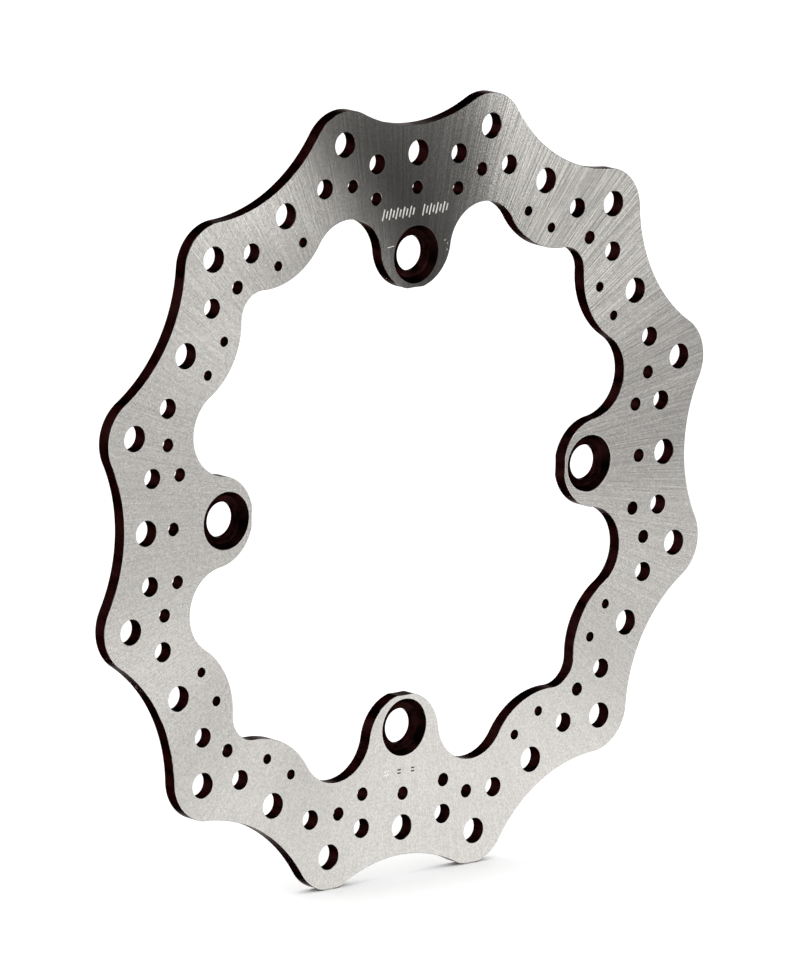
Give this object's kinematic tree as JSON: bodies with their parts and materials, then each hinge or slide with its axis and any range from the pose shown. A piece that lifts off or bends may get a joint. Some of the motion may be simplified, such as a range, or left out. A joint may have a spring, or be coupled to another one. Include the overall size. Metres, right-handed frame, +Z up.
{
  "type": "motorcycle wave brake disc rotor",
  "caption": "Flat one-piece steel brake disc with a wavy rim, drilled vent pattern and inward tabs with recessed bolt holes, for a motorcycle wheel.",
  "frame": {"origin": "centre of the wheel-bolt circle, on the hub face", "axes": "+Y along the rotor axis, from the disc towards the wheel hub; +Z up through one bolt tab, with the disc upright; +X through the next bolt tab, to the right seen from outboard"},
  "size_m": [0.2326, 0.0043, 0.2326],
  "materials": {
    "ground_steel": "flat-ground faces with fine radial grinding lines",
    "dark_oxide": "burgundy-black coating on the rim, the hole walls and the bolt recesses"
  },
  "bodies": {
    "root": {"rotor_disc": "ground_steel"}
  },
  "joints": []
}
